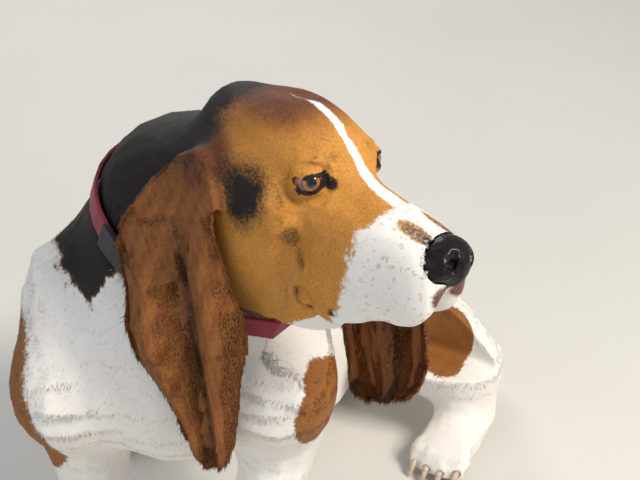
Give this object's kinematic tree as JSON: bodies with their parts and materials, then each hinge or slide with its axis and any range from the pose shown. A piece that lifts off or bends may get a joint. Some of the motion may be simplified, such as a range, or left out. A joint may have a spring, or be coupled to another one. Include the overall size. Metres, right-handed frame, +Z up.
{
  "type": "basset hound, sitting",
  "caption": "Life-size basset hound sitting with its head turned to its left, long ears hanging, in a plain fabric collar.",
  "frame": {"origin": "middle of the footprint's bounding box, on the floor", "axes": "+Z up, the chest faces -Y, the dog's left is +X"},
  "size_m": [0.4918, 0.705, 0.5273],
  "materials": {
    "coat": "short dense hair, tan, mahogany and black on white",
    "lid": "moist dark skin",
    "nose_leather": "moist, pebbled, glossy",
    "eye": "wet, clear and glossy",
    "claw": "semi-gloss",
    "webbing": "woven, matt",
    "strap": "woven, matt"
  },
  "bodies": {
    "root": {"neck": "coat", "collar_band": "webbing", "collar_keeper": "strap", "chest": "coat", "hindquarters": "coat", "tail": "coat", "foreleg_upper_left": "coat", "foreleg_lower_left": "coat", "forepaw_left": "coat", "foreclaw_left_1": "claw", "foreclaw_left_2": "claw", "foreclaw_left_3": "claw", "foreclaw_left_4": "claw", "thigh_left": "coat", "hindleg_lower_left": "coat", "hindpaw_left": "coat", "hindclaw_left_1": "claw", "hindclaw_left_2": "claw", "hindclaw_left_3": "claw", "hindclaw_left_4": "claw", "foreleg_upper_right": "coat", "foreleg_lower_right": "coat", "forepaw_right": "coat", "foreclaw_right_1": "claw", "foreclaw_right_2": "claw", "foreclaw_right_3": "claw", "foreclaw_right_4": "claw", "thigh_right": "coat", "hindleg_lower_right": "coat", "hindpaw_right": "coat", "hindclaw_right_1": "claw", "hindclaw_right_2": "claw", "hindclaw_right_3": "claw", "hindclaw_right_4": "claw", "head": "coat", "muzzle": "coat", "lower_jaw": "coat", "nose": "nose_leather", "eye_left": "eye", "eyelids_left": "lid", "eye_right": "eye", "eyelids_right": "lid", "ear_left": "coat", "ear_right": "coat"}
  },
  "joints": []
}
